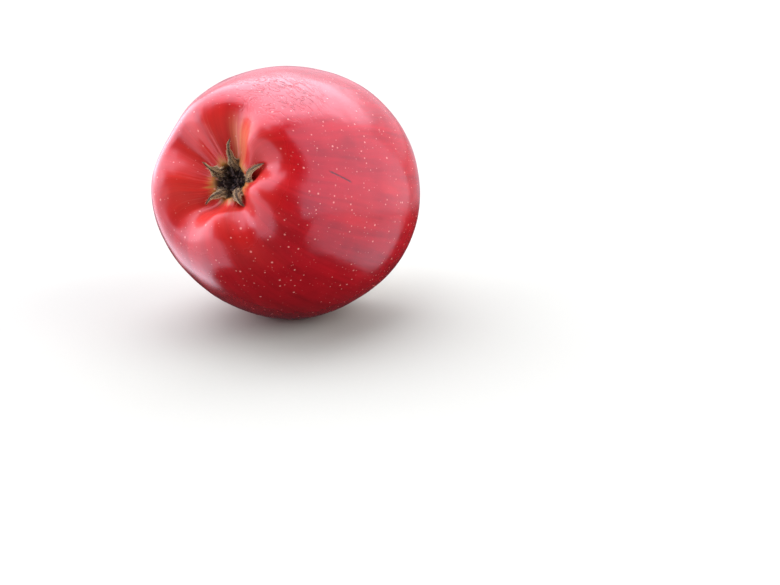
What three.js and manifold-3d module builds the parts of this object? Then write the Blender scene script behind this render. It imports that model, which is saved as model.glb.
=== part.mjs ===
// An apple lying on its side: the fruit, its stem, and the dried flower left in the calyx basin.
// Millimetres, +Z up. The fruit is described upright, with +Z along its core towards the stem, and
// is then laid down so that the calyx faces -Y and is raised. The origin is the middle of the small
// flat spot that the apple rests on.

import * as THREE from "three";
import { mergeVertices } from "three/addons/utils/BufferGeometryUtils.js";
import Module from "manifold-3d";

// Driving dimensions of the fruit.
const fruitDiameter = 78;
const fruitHeight = 70; // from the top of the shoulder to the lowest of the crown, without the ribs
const girthAboveMiddle = 7; // the fruit is widest this far above the middle of its height
const shoulderDiameter = 40;
const cavityDepth = 15.5;
const cavityThroatDiameter = 16;
const cavityThroatDepth = 9;
const crownDiameter = 37;
const basinDepth = 6.4;
const basinThroatDiameter = 19;
const basinThroatDepth = 3;

// How the fruit departs from a turned shape.
const ribCount = 5;
const ribAngle = THREE.MathUtils.degToRad(30); // of the first rib
const ribShareAtCrown = 0.009; // of the radius
const ribShareAtShoulder = 0.004;
const ribDrop = 1; // how far the ribs stand below the crown
const ovalShare = 0.028;
const ovalAngle = THREE.MathUtils.degToRad(92);
const trefoilShare = 0.016;
const trefoilAngle = THREE.MathUtils.degToRad(6);
const coreLeanX = 0.06; // sideways travel of the core for each millimetre of height
const coreLeanY = -0.078;

// How the apple lies.
const calyxRise = THREE.MathUtils.degToRad(22); // the core's slope, calyx end up
const restSpotDepth = 0.8; // how much of the roundness the flat spot takes away

// The stem and the socket that it grows from.
const stemLength = 30; // above the floor of the cavity
const stemDiameter = 2.7;
const stemFootDiameter = 3.6;
const stemEndDiameter = 4.6;
const stemEndLength = 5;
const stemBend = 2.4; // sideways, at the free end
const stemRootDepth = 3;

// The calyx tube in the floor of the basin, and the dried flower that stands in it.
const calyxTubeDiameter = 8.8;
const calyxTubeDepth = 2.4;
const sepalWidth = 3.6;
const sepalThickness = 0.7;
const sepalTipShare = 0.16; // of the width
const tuftDiameter = 3;
const tuftTopDiameter = 1.8;
const tuftHeight = 4;

const growthGap = 0.3; // left between pieces that have grown together

// One row for each sepal: its place round the core and its curl outwards, both in degrees, its
// length, and how far up it stands straight before it curls, as a share of the basin's depth.
const sepals = [
  { place: -18, curl: 96, length: 10.6, upright: 0.46 },
  { place: -84, curl: 78, length: 10, upright: 0.53 },
  { place: -158, curl: 84, length: 8.8, upright: 0.47 },
  { place: -238, curl: 112, length: 7.8, upright: 0.48 },
  { place: -312, curl: 124, length: 8.8, upright: 0.56 },
];

const roundSteps = 64;
const outlineSteps = 8; // in each stretch of the fruit's outline

const fruitRadius = fruitDiameter / 2;
const middleToTop = fruitHeight / 2;
const cavityFloor = middleToTop - cavityDepth;
const basinFloor = -middleToTop + basinDepth;

const wasm = await Module();
wasm.setup();

// The geometry with only its positions, its shared vertices merged and no collapsed faces.
function merged(geometry) {
  const bare = geometry.clone();
  bare.deleteAttribute("normal");
  bare.deleteAttribute("uv");
  const joined = mergeVertices(bare, 1e-4);
  const corners = joined.index.array;
  const kept = [];
  for (let i = 0; i < corners.length; i += 3) {
    const [a, b, c] = corners.slice(i, i + 3);
    if (a !== b && b !== c && c !== a) kept.push(a, b, c);
  }
  joined.setIndex(kept);
  return joined;
}

function solidOf(geometry) {
  const closed = merged(geometry);
  return new wasm.Manifold(
    new wasm.Mesh({
      numProp: 3,
      vertProperties: closed.attributes.position.array,
      triVerts: new Uint32Array(closed.index.array),
    }),
  );
}

function geometryOf(solid) {
  const mesh = solid.getMesh();
  const geometry = new THREE.BufferGeometry();
  geometry.setAttribute("position", new THREE.BufferAttribute(mesh.vertProperties, 3));
  geometry.setIndex(new THREE.BufferAttribute(mesh.triVerts, 1));
  geometry.computeVertexNormals();
  return geometry;
}

// Turns an outline of (radius, height) points about +Z. The outline runs from the top down.
function turned(outline, steps) {
  return new THREE.LatheGeometry([...outline].reverse(), steps).rotateX(Math.PI / 2);
}

// Moves every vertex of a geometry to the place that shape(point) gives it.
function reshaped(geometry, shape) {
  const positions = geometry.attributes.position;
  const point = new THREE.Vector3();
  for (let i = 0; i < positions.count; i++) {
    shape(point.fromBufferAttribute(positions, i));
    positions.setXYZ(i, point.x, point.y, point.z);
  }
  return geometry;
}

// The fruit's outline, from the floor of the stem cavity to the floor of the calyx basin. Each knot
// has a radius, a height, a heading in degrees, and how far its two handles reach.
function fruitOutline() {
  const knots = [
    { r: 0, z: cavityFloor, heading: 0, before: 0, after: 2.5 },
    {
      r: cavityThroatDiameter / 2,
      z: middleToTop - cavityThroatDepth,
      heading: 62,
      before: 4,
      after: 5,
    },
    { r: shoulderDiameter / 2, z: middleToTop, heading: 0, before: 6, after: 8 },
    {
      r: fruitRadius,
      z: girthAboveMiddle,
      heading: -92,
      before: (middleToTop - girthAboveMiddle) * 0.54,
      after: (middleToTop + girthAboveMiddle) * 0.33,
    },
    { r: crownDiameter / 2, z: -middleToTop, heading: 180, before: 9, after: 3.4 },
    {
      r: basinThroatDiameter / 2,
      z: -middleToTop + basinThroatDepth,
      heading: 152,
      before: 3.2,
      after: 3.3,
    },
    { r: 0, z: basinFloor, heading: 180, before: 3.4, after: 0 },
  ];
  const handle = (knot, reach) => {
    const heading = THREE.MathUtils.degToRad(knot.heading);
    return new THREE.Vector2(
      knot.r + reach * Math.cos(heading),
      knot.z + reach * Math.sin(heading),
    );
  };
  const outline = [];
  for (let i = 0; i + 1 < knots.length; i++) {
    const [from, to] = [knots[i], knots[i + 1]];
    const stretch = new THREE.CubicBezierCurve(
      new THREE.Vector2(from.r, from.z),
      handle(from, from.after),
      handle(to, -to.before),
      new THREE.Vector2(to.r, to.z),
    );
    outline.push(...stretch.getPoints(outlineSteps).slice(i ? 1 : 0));
  }
  return outline;
}

// Gives a point of the turned fruit its ribs, its oval and three-sided girth, and its leaning core.
function grow(point) {
  const around = Math.atan2(point.y, point.x);
  const rib = Math.cos(ribCount * (around - ribAngle));
  const towardsCrown = THREE.MathUtils.smoothstep(
    -point.z,
    -girthAboveMiddle,
    middleToTop,
  );
  const overCrown = THREE.MathUtils.smoothstep(-point.z, middleToTop * 0.6, middleToTop);
  const ribShare = THREE.MathUtils.lerp(ribShareAtShoulder, ribShareAtCrown, towardsCrown);
  const girth =
    1 +
    ribShare * rib +
    ovalShare * Math.cos(2 * (around - ovalAngle)) +
    trefoilShare * Math.cos(3 * (around - trefoilAngle));
  const height = point.z;
  point.x = point.x * girth + coreLeanX * height;
  point.y = point.y * girth + coreLeanY * height;
  point.z = height - ribDrop * rib * overCrown;
}

// Where the core's line is at a height, and a piece moved there.
const onCore = (height) => new THREE.Vector3(coreLeanX * height, coreLeanY * height, height);

function standingAt(geometry, place) {
  return geometry.translate(place.x, place.y, place.z);
}

// Laying the apple down: a turn about X, then a shift that brings the lowest of the skin just under
// the origin.
function layingDown() {
  const outline = fruitOutline();
  const turn = new THREE.Euler(-Math.PI / 2 - calyxRise, 0, 0);
  const lowest = new THREE.Vector3(0, 0, Infinity);
  const point = new THREE.Vector3();
  const fineSteps = 720;
  for (let step = 0; step < fineSteps; step++) {
    const around = (step / fineSteps) * 2 * Math.PI;
    for (const { x: radius, y: height } of outline) {
      grow(point.set(radius * Math.cos(around), radius * Math.sin(around), height));
      point.applyEuler(turn);
      if (point.z < lowest.z) lowest.copy(point);
    }
  }
  return { turn, shift: new THREE.Vector3(-lowest.x, -lowest.y, -lowest.z - restSpotDepth) };
}

function fruitGeometry(laying) {
  const whole = solidOf(reshaped(turned(fruitOutline(), roundSteps), grow));

  const socketDepth = stemRootDepth + growthGap;
  const socket = new THREE.CylinderGeometry(
    stemFootDiameter / 2 + growthGap,
    stemFootDiameter / 2 + growthGap,
    socketDepth + cavityDepth,
    24,
  ).rotateX(Math.PI / 2);
  standingAt(socket, onCore(cavityFloor));
  socket.translate(0, 0, (cavityDepth - socketDepth) / 2);

  const tube = new THREE.CylinderGeometry(
    calyxTubeDiameter / 2,
    calyxTubeDiameter / 2,
    calyxTubeDepth + basinDepth,
    40,
  ).rotateX(Math.PI / 2);
  standingAt(tube, onCore(basinFloor));
  tube.translate(0, 0, (calyxTubeDepth - basinDepth) / 2);

  const ground = new THREE.BoxGeometry(3 * fruitDiameter, 3 * fruitDiameter, fruitDiameter);
  ground.translate(0, 0, -fruitDiameter / 2);
  const backUp = new THREE.Matrix4()
    .makeRotationFromEuler(laying.turn)
    .setPosition(laying.shift)
    .invert();
  ground.applyMatrix4(backUp);

  return geometryOf(
    whole.subtract(solidOf(socket)).subtract(solidOf(tube)).subtract(solidOf(ground)),
  );
}

// The stem: a flared foot, a slender shank and a thicker cut end, bent a little to one side.
function stemGeometry() {
  const whole = stemRootDepth + stemLength;
  const shankRadius = stemDiameter / 2;
  const knots = [
    [0, whole],
    [stemEndDiameter * 0.42, whole],
    [stemEndDiameter / 2, whole - stemEndLength * 0.2],
    [shankRadius * 1.25, whole - stemEndLength * 0.6],
    [shankRadius, whole - stemEndLength * 1.4],
    [shankRadius * 0.94, whole * 0.55],
    [shankRadius, whole * 0.3],
    [stemFootDiameter / 2, stemRootDepth],
    [stemFootDiameter / 2, 0],
    [0, 0],
  ];
  const side = new THREE.SplineCurve(knots.slice(1, -2).map(([r, z]) => new THREE.Vector2(r, z)));
  const outline = [
    new THREE.Vector2(...knots[0]),
    ...side.getPoints(20),
    new THREE.Vector2(...knots.at(-2)),
    new THREE.Vector2(...knots.at(-1)),
  ];
  const bent = reshaped(turned(outline, 14), (point) => {
    const along = Math.max(0, (point.z - stemRootDepth) / stemLength);
    point.y += stemBend * along * along;
  });
  const foot = onCore(cavityFloor);
  foot.z -= stemRootDepth;
  return merged(standingAt(bent, foot));
}

// A sepal: a tapering strip that stands up from the calyx tube and then curls outwards. Its length
// runs along -Z, away from the fruit, and its curl goes towards +X before it is turned to its place.
function sepalGeometry({ place, length, curl, upright }) {
  const blank = new THREE.BoxGeometry(sepalThickness, sepalWidth, length, 1, 4, 12);
  const uprightLength = basinDepth * upright;
  const curlLength = length - uprightLength;
  const curlAngle = THREE.MathUtils.degToRad(curl);
  const curlRadius = curlLength / curlAngle;
  reshaped(blank, (point) => {
    const along = Math.max(0, point.z + length / 2);
    const share = along / length;
    const width = THREE.MathUtils.lerp(1, sepalTipShare, share ** 1.6);
    const bulge = 1 - 0.25 * (1 - share) ** 2;
    point.y *= width * bulge;
    const past = Math.max(0, along - uprightLength);
    const angle = past / curlRadius;
    const out = curlRadius * (1 - Math.cos(angle));
    const up = Math.min(along, uprightLength) + curlRadius * Math.sin(angle);
    const offset = point.x;
    point.x = out - offset * Math.cos(angle);
    point.z = -(up + offset * Math.sin(angle));
  });
  const ring = calyxTubeDiameter / 2 - growthGap - sepalThickness;
  blank.translate(ring, 0, 0);
  blank.rotateZ(THREE.MathUtils.degToRad(place));
  const foot = onCore(basinFloor);
  foot.z += calyxTubeDepth - growthGap;
  return merged(standingAt(blank, foot));
}

// The dried stamens and styles, as one plug of their outer shape.
function tuftGeometry() {
  const outline = [
    new THREE.Vector2(0, 0),
    new THREE.Vector2(tuftDiameter / 2, 0),
    new THREE.Vector2(tuftDiameter * 0.42, -tuftHeight * 0.5),
    new THREE.Vector2(tuftTopDiameter / 2, -tuftHeight),
    new THREE.Vector2(0, -tuftHeight),
  ];
  const foot = onCore(basinFloor);
  foot.z += calyxTubeDepth - growthGap;
  return merged(standingAt(turned(outline, 12), foot));
}

const materials = {
  skin: new THREE.MeshStandardMaterial({ color: 0xb3202c, roughness: 0.32, metalness: 0 }),
  stemWood: new THREE.MeshStandardMaterial({ color: 0x6e4a20, roughness: 0.8, metalness: 0 }),
  sepal: new THREE.MeshStandardMaterial({ color: 0x7a6848, roughness: 0.9, metalness: 0 }),
  stamen: new THREE.MeshStandardMaterial({ color: 0x241a14, roughness: 0.9, metalness: 0 }),
};

const laying = layingDown();
const apple = new THREE.Group();
apple.rotation.copy(laying.turn);
apple.position.copy(laying.shift);

function add(name, geometry, material) {
  const mesh = new THREE.Mesh(geometry, material);
  mesh.name = name;
  apple.add(mesh);
}

add("fruit", fruitGeometry(laying), materials.skin);
add("stem", stemGeometry(), materials.stemWood);
sepals.forEach((sepal, index) => {
  add(`sepal_${index + 1}`, sepalGeometry(sepal), materials.sepal);
});
add("dried_stamens", tuftGeometry(), materials.stamen);

export default apple;
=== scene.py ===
"""A red apple on its side, with its stem and its dried flower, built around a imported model.

Lengths are metres. The fruit, the stem and the flower are shaped upright, with +Z along the core
towards the stem and the origin in the middle of the fruit's height, and are then laid down.
"""

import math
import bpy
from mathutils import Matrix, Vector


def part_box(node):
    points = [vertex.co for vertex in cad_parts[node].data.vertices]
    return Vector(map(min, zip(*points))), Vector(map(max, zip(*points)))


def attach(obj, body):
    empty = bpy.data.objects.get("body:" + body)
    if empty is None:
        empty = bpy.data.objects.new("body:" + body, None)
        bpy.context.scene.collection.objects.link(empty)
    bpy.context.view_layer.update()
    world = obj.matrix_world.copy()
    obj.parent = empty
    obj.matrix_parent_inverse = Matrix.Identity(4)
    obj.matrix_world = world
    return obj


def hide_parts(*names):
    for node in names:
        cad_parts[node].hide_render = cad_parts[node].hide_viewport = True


bl_info = {
    "name": "Apple",
    "version": (1, 0, 0),
    "blender": (4, 5, 0),
    "location": "3D View > Sidebar > Apple",
    "description": "Builds a red apple, its stem and its dried flower around a packed model",
    "category": "Object",
}

import bpy
import numpy as np
from mathutils import Matrix, Vector

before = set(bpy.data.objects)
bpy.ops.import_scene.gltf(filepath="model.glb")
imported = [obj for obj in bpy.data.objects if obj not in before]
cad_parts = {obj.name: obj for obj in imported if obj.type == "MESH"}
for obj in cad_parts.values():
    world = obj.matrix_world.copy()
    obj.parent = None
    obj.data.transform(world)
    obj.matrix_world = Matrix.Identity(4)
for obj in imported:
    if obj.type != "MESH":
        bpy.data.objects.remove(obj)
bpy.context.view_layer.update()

TURN = 2 * math.pi
GOLDEN_ANGLE = 2.399963
WELD_DISTANCE = 2e-6


# ---------------------------------------------------------------------------------------------
# Writing node trees


class Number:
    """A number that nodes work out, so that a formula can be written as one."""

    def __init__(self, tree, socket):
        self.tree = tree
        self.socket = socket

    def __add__(self, other):
        return calculate(self.tree, "ADD", self, other)

    def __radd__(self, other):
        return calculate(self.tree, "ADD", other, self)

    def __sub__(self, other):
        return calculate(self.tree, "SUBTRACT", self, other)

    def __rsub__(self, other):
        return calculate(self.tree, "SUBTRACT", other, self)

    def __mul__(self, other):
        return calculate(self.tree, "MULTIPLY", self, other)

    def __rmul__(self, other):
        return calculate(self.tree, "MULTIPLY", other, self)

    def __truediv__(self, other):
        return calculate(self.tree, "DIVIDE", self, other)

    def __neg__(self):
        return calculate(self.tree, "MULTIPLY", self, -1.0)


def feed(tree, socket, value):
    """Links a number, vector or other socket to an input, or sets the input's own value."""
    if isinstance(value, Number):
        tree.links.new(value.socket, socket)
    elif isinstance(value, bpy.types.NodeSocket):
        tree.links.new(value, socket)
    else:
        socket.default_value = value


def add(tree, kind, inputs=None, **settings):
    """Adds a node. Its inputs are named, or numbered where a name isn't unique."""
    node = tree.nodes.new(kind)
    for setting, value in settings.items():
        setattr(node, setting, value)
    for name, value in (inputs or {}).items():
        feed(tree, node.inputs[name], value)
    return node


def calculate(tree, operation, *values, clamp=False):
    node = add(tree, "ShaderNodeMath", operation=operation, use_clamp=clamp)
    for socket, value in zip(node.inputs, values):
        feed(tree, socket, value)
    return Number(tree, node.outputs[0])


def cosine(angle):
    return calculate(angle.tree, "COSINE", angle)


def sine(angle):
    return calculate(angle.tree, "SINE", angle)


def power(value, exponent):
    return calculate(value.tree, "POWER", value, exponent)


def size_of(value):
    return calculate(value.tree, "ABSOLUTE", value)


def least(first, second):
    return calculate(first.tree, "MINIMUM", first, second)


def most(first, second):
    return calculate(first.tree, "MAXIMUM", first, second)


def held(value):
    """The number kept between nought and one."""
    return calculate(value.tree, "ADD", value, 0.0, clamp=True)


def eased(value, start, end, low=0.0, high=1.0):
    """Goes smoothly from low to high as the number goes from start to end."""
    names = ("Value", "From Min", "From Max", "To Min", "To Max")
    numbers = (value, start, end, low, high)
    node = add(
        value.tree,
        "ShaderNodeMapRange",
        dict(zip(names, numbers)),
        interpolation_type="SMOOTHSTEP",
    )
    return Number(value.tree, node.outputs[0])


def between(low, high, share):
    return low + (high - low) * share


def vector(tree, x, y, z):
    return add(tree, "ShaderNodeCombineXYZ", {"X": x, "Y": y, "Z": z}).outputs[0]


def parts(tree, socket):
    node = add(tree, "ShaderNodeSeparateXYZ", {0: socket})
    return [Number(tree, output) for output in node.outputs[:3]]


def vector_math(tree, operation, first, second=(0, 0, 0)):
    node = add(tree, "ShaderNodeVectorMath", {0: first, 1: second}, operation=operation)
    if operation in ("DOT_PRODUCT", "LENGTH", "DISTANCE"):
        return Number(tree, node.outputs["Value"])
    return node.outputs["Vector"]


def scaled(tree, socket, factor):
    node = add(tree, "ShaderNodeVectorMath", {0: socket, "Scale": factor}, operation="SCALE")
    return node.outputs["Vector"]


def noise(tree, where, scale, detail=2.0, roughness=0.5, distortion=0.0):
    """A smooth noise round one half."""
    inputs = {
        "Vector": where,
        "Scale": scale,
        "Detail": detail,
        "Roughness": roughness,
        "Distortion": distortion,
    }
    return Number(tree, add(tree, "ShaderNodeTexNoise", inputs).outputs[0])


def blended(tree, share, first, second, blend_type="MIX"):
    """Goes from the first colour to the second as the share goes from nought to one."""
    inputs = {0: share, 6: first, 7: second}
    node = add(tree, "ShaderNodeMix", inputs, data_type="RGBA", blend_type=blend_type)
    return node.outputs[2]


def colour(red, green, blue):
    return (red, green, blue, 1.0)


# ---------------------------------------------------------------------------------------------
# Geometry trees


def shape_tree(name, sizes):
    """A geometry tree with named inputs. Returns the tree and its inputs as numbers."""
    tree = bpy.data.node_groups.new(name, "GeometryNodeTree")
    tree.interface.new_socket("Geometry", in_out="INPUT", socket_type="NodeSocketGeometry")
    for size, start in sizes.items():
        kind = "NodeSocketInt" if isinstance(start, int) else "NodeSocketFloat"
        socket = tree.interface.new_socket(size, in_out="INPUT", socket_type=kind)
        socket.default_value = start
    tree.interface.new_socket("Geometry", in_out="OUTPUT", socket_type="NodeSocketGeometry")
    outputs = tree.nodes.new("NodeGroupInput").outputs
    return tree, {size: Number(tree, outputs[size]) for size in sizes}


def finish_shape(tree, geometry, material):
    """Ends a tree: real geometry, smooth shading and the piece's material."""
    real = add(tree, "GeometryNodeRealizeInstances", {"Geometry": geometry}).outputs[0]
    smooth = add(tree, "GeometryNodeSetShadeSmooth", {"Geometry": real}).outputs[0]
    painted = add(tree, "GeometryNodeSetMaterial", {"Geometry": smooth, "Material": material})
    add(tree, "NodeGroupOutput", {0: painted.outputs[0]})
    return tree


def round_skin(tree, steps_around, steps_along):
    """A sheet to be closed into a round skin: its mesh, the angle round it and the share of the
    way along it. Its faces point outwards where the share runs against +Z on the outside."""
    sheet = add(
        tree,
        "GeometryNodeMeshGrid",
        {"Size X": 1.0, "Size Y": 1.0, "Vertices X": steps_around, "Vertices Y": steps_along},
    )
    x, y, _ = parts(tree, add(tree, "GeometryNodeInputPosition").outputs[0])
    return sheet.outputs["Mesh"], (x + 0.5) * TURN, 0.5 - y


def placed(tree, geometry, position):
    inputs = {"Geometry": geometry, "Position": position}
    return add(tree, "GeometryNodeSetPosition", inputs).outputs[0]


def pushed(tree, geometry, distance):
    """Moves a surface along its own normals."""
    normal = add(tree, "GeometryNodeInputNormal").outputs[0]
    inputs = {"Geometry": geometry, "Offset": scaled(tree, normal, distance)}
    return add(tree, "GeometryNodeSetPosition", inputs).outputs[0]


def remembered(tree, geometry, name, value):
    """Keeps a vector on each point, for the material to read."""
    node = add(
        tree,
        "GeometryNodeStoreNamedAttribute",
        {"Geometry": geometry, "Name": name},
        data_type="FLOAT_VECTOR",
        domain="POINT",
    )
    socket = next(s for s in node.inputs if s.name == "Value" and s.enabled)
    feed(tree, socket, value)
    return node.outputs[0]


def welded(tree, geometry):
    inputs = {"Geometry": geometry, "Distance": WELD_DISTANCE}
    return add(tree, "GeometryNodeMergeByDistance", inputs).outputs[0]


def turned_out(tree, geometry):
    """Turns the faces over, for a skin whose share runs along +Z on the outside."""
    return add(tree, "GeometryNodeFlipFaces", {"Mesh": geometry}).outputs[0]


def random_number(tree, low, high, seed):
    node = add(tree, "FunctionNodeRandomValue", {"Seed": seed}, data_type="FLOAT")
    feed(tree, node.inputs[2], low)
    feed(tree, node.inputs[3], high)
    return Number(tree, node.outputs[1])


def plain_mesh(name, tree, sizes):
    """Runs a tree with these sizes, and returns what it makes as a plain mesh."""
    blank = bpy.data.objects.new(name, bpy.data.meshes.new(name + "_blank"))
    bpy.context.scene.collection.objects.link(blank)
    modifier = blank.modifiers.new("Shape", "NODES")
    modifier.node_group = tree
    for item in tree.interface.items_tree:
        if item.in_out == "INPUT" and item.name in sizes:
            modifier[item.identifier] = sizes[item.name]
    depsgraph = bpy.context.evaluated_depsgraph_get()
    shown = blank.evaluated_get(depsgraph)
    made = bpy.data.meshes.new_from_object(
        shown, preserve_all_data_layers=True, depsgraph=depsgraph
    )
    made.name = name
    spare = blank.data
    bpy.data.objects.remove(blank)
    bpy.data.meshes.remove(spare)
    return made


def mesh_points(mesh):
    points = np.empty(len(mesh.vertices) * 3, np.float32)
    mesh.vertices.foreach_get("co", points)
    return points.reshape(-1, 3)


def stand_in(mesh, node):
    """Puts a finished mesh in the scene in place of a node of the model."""
    piece = bpy.data.objects.new(mesh.name, mesh)
    bpy.context.scene.collection.objects.link(piece)
    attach(piece, "root")
    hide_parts(node)
    return piece


def laid_down(lie):
    """From the upright apple to the apple as it lies."""
    turn = Matrix.Rotation(-(math.pi / 2 + lie.calyx_rise), 4, "X")
    return Matrix.Translation(lie.middle) @ turn


# ---------------------------------------------------------------------------------------------
# Materials


def new_material(name):
    """A material with one Principled shader. Returns the material, its tree and the shader."""
    material = bpy.data.materials.new(name)
    material.use_nodes = True
    tree = material.node_tree
    tree.nodes.clear()
    shader = add(tree, "ShaderNodeBsdfPrincipled")
    add(tree, "ShaderNodeOutputMaterial", {"Surface": shader.outputs[0]})
    return material, tree, shader


def own_place(tree):
    """Where a point was on the upright piece, before it bent or leaned."""
    node = add(tree, "ShaderNodeAttribute", attribute_name="upright")
    return node.outputs["Vector"]


def bumped(tree, height, distance):
    inputs = {"Height": height, "Distance": distance, "Strength": 1.0}
    return add(tree, "ShaderNodeBump", inputs).outputs[0]


def lenticels(tree, where, spacing, smallest, largest, density):
    """Small round dots at random places, each with its own size, as a mask."""
    node = add(
        tree,
        "ShaderNodeTexVoronoi",
        {"Vector": where, "Scale": 1 / spacing, "Randomness": 1.0},
        feature="F1",
    )
    distance = Number(tree, node.outputs["Distance"]) * spacing
    chance, size, _ = parts(tree, node.outputs["Color"])
    radius = between(smallest, largest, size * size) * eased(density - chance, 0.0, 0.12)
    return eased(distance / most(radius, 1e-6), 1.0, 0.45)


def make_skin(look):
    """Waxed red skin over a yellow-green ground, with streaks, lenticels and fine marks."""
    material, tree, shader = new_material("apple_skin")
    where = own_place(tree)
    x, y, height = parts(tree, where)
    radius = calculate(tree, "SQRT", x * x + y * y)
    towards = (x / most(radius, 1e-6), y / most(radius, 1e-6))
    here = add(tree, "ShaderNodeTexCoord").outputs["Object"]

    def streaks(width, length, detail=3.0, twist=0.0):
        """Noise drawn out along the core, in streaks of that many radians and metres."""
        stretched = vector(tree, towards[0] / width, towards[1] / width, height / length)
        return noise(tree, stretched, 1.0, detail, 0.55, twist)

    def facing(angle):
        """One where the skin faces that way round the core, and less to both sides of it."""
        return towards[0] * math.cos(angle) + towards[1] * math.sin(angle)

    calyx_side = eased(height, 0.0, -0.012)
    stem_side = eased(height, 0.004, 0.016)

    # Red, with broad streaks of a lighter and a darker red and fine streaks over them.
    broad = streaks(0.16, 0.030, 3.0, 0.6)
    fine = streaks(0.035, 0.012, 4.0, 0.3)
    mottle = noise(tree, where, 130.0, 4.0, 0.6, 0.4)
    lightness = held((broad - 0.5) * 1.5 + (fine - 0.5) * 0.8 + (mottle - 0.5) * 0.9 + 0.42)
    red = blended(tree, lightness, look.deep_red, look.light_red)

    # Orange where the ground shows faintly through the red, round the crown and in patches. Round
    # the crown it is also painted light, which lightens the basin as a front light would.
    crown = eased(radius, 0.027, 0.012) * calyx_side
    patch = eased(noise(tree, where, 42.0, 2.0, 0.5, 0.5), 0.5, 0.78)
    # The crown's share is partly thin red and partly painted light on the basin.
    thin = held(crown * (0.40 + broad * 0.4) + patch * 0.28 * broad)
    red = blended(tree, thin, red, look.orange_and_painted_light)

    # The ground colour, in the stem cavity, on one shoulder and in the floor of the basin.
    wisps = streaks(0.05, 0.05, 3.0, 0.2)
    cavity = eased(radius + (wisps - 0.5) * 0.020, 0.0185, 0.0085) * stem_side
    basin_floor = eased(radius + (wisps - 0.5) * 0.007, 0.0072, 0.0046) * calyx_side
    tube = eased(radius, 0.0050, 0.0042) * calyx_side
    shoulder = eased(height, 0.012, 0.030) * eased(radius, 0.033, 0.022)
    blush = eased(facing(look.blush_angle), 0.72, 0.99) * shoulder * eased(wisps, 0.28, 0.66) * 0.8
    groove_reach = eased(radius, 0.0045, 0.007) * eased(radius, 0.0190, 0.010)
    groove = eased(facing(look.groove_angle), 0.90, 0.985) * groove_reach * calyx_side
    groove = held(groove * (0.35 + eased(wisps, 0.3, 0.7) * 0.75))
    ground_colour = blended(
        tree, held(cavity * eased(radius, 0.012, 0.005) + basin_floor), look.yellow, look.green
    )
    shows = held(cavity * (0.55 + wisps * 0.7) + blush + basin_floor * 0.62)
    skin = blended(tree, shows, red, ground_colour)
    skin = blended(tree, groove * 0.8, skin, look.groove)

    # Pale rays out of the basin and the cavity, thinner than the streaks.
    rays = eased(streaks(0.022, 0.09, 2.0), 0.56, 0.78)
    near_ends = eased(radius, 0.019, 0.008)
    skin = blended(tree, rays * near_ends * 0.24, skin, look.ray)
    skin = blended(tree, tube, skin, look.tube)

    # Lenticels.
    crowd = noise(tree, where, 38.0, 1.0)
    density = eased(crowd, 0.22, 0.65, 0.60, 1.0) * eased(radius, 0.010, 0.022, 0.35, 1.0)
    dots = lenticels(tree, where, 0.00155, 0.00016, 0.00042, density)
    specks = lenticels(tree, where, 0.00115, 0.00009, 0.00022, density)
    skin = blended(tree, held(dots * 0.54 + specks * 0.32), skin, look.lenticel)

    # A thin scratch, dried brown.
    middle = Vector(look.scratch_middle)
    along_it = Vector(look.scratch_direction).normalized()
    offset = vector_math(tree, "SUBTRACT", here, middle)
    along = vector_math(tree, "DOT_PRODUCT", offset, along_it)
    crossed = vector_math(tree, "CROSS_PRODUCT", offset, along_it)
    across = vector_math(tree, "LENGTH", crossed) + (noise(tree, here, 900.0) - 0.5) * 0.00025
    half = look.scratch_length / 2
    scratch = eased(size_of(along), half, half * 0.7) * eased(across, 0.00036, 0.00014)
    skin = blended(tree, scratch * 0.95, skin, look.scratch)
    feed(tree, shader.inputs["Base Color"], skin)

    # Gloss: waxed, duller in smears, in both hollows and on the lenticels.
    smear = noise(tree, where, 70.0, 4.0, 0.65, 1.2)
    rub = noise(tree, here, 420.0, 3.0, 0.6)
    basin = eased(radius, 0.027, 0.014) * calyx_side
    dull = held(cavity * 0.5 + basin * 0.75 + dots * 0.35 + scratch * 0.5)
    roughness = 0.21 + (smear - 0.5) * 0.10 + (rub - 0.5) * 0.03 + dull * 0.25
    feed(tree, shader.inputs["Roughness"], roughness)
    shader.inputs["Coat Weight"].default_value = look.wax
    shader.inputs["Coat Roughness"].default_value = 0.16
    shader.inputs["Coat IOR"].default_value = 1.45
    shader.inputs["IOR"].default_value = 1.45
    shader.inputs["Specular IOR Level"].default_value = 0.48
    shader.inputs["Specular Tint"].default_value = look.bloom

    # Relief: slow waves that bend the reflections, wrinkles, pores and the scratch.
    waves = noise(tree, where, 190.0, 2.0, 0.5, 0.6)
    ripples = streaks(0.06, 0.010, 2.0, 0.8)
    pores = noise(tree, here, 1500.0, 2.0)
    wrinkle_at = vector_math(tree, "DISTANCE", here, look.wrinkle_middle)
    folds = noise(tree, vector(tree, x, y, height * 2.6), 150.0, 2.0, 0.5, 1.6)
    wrinkles = eased(size_of(folds - 0.5), 0.045, 0.0) * eased(wrinkle_at, 0.017, 0.006)
    drawn_at = vector_math(tree, "DISTANCE", here, look.drawn_middle)
    drawn = eased(drawn_at, 0.026, 0.008)
    relief = (
        waves * 0.024
        + ripples * (0.014 + drawn * 0.05)
        + pores * 0.0012
        - wrinkles * 0.10
        + dots * 0.010
        - scratch * 0.04
        + rays * near_ends * 0.02
    )
    feed(tree, shader.inputs["Normal"], bumped(tree, relief, 0.001))
    feed(tree, shader.inputs["Coat Normal"], bumped(tree, relief, 0.0006))
    return material


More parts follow.
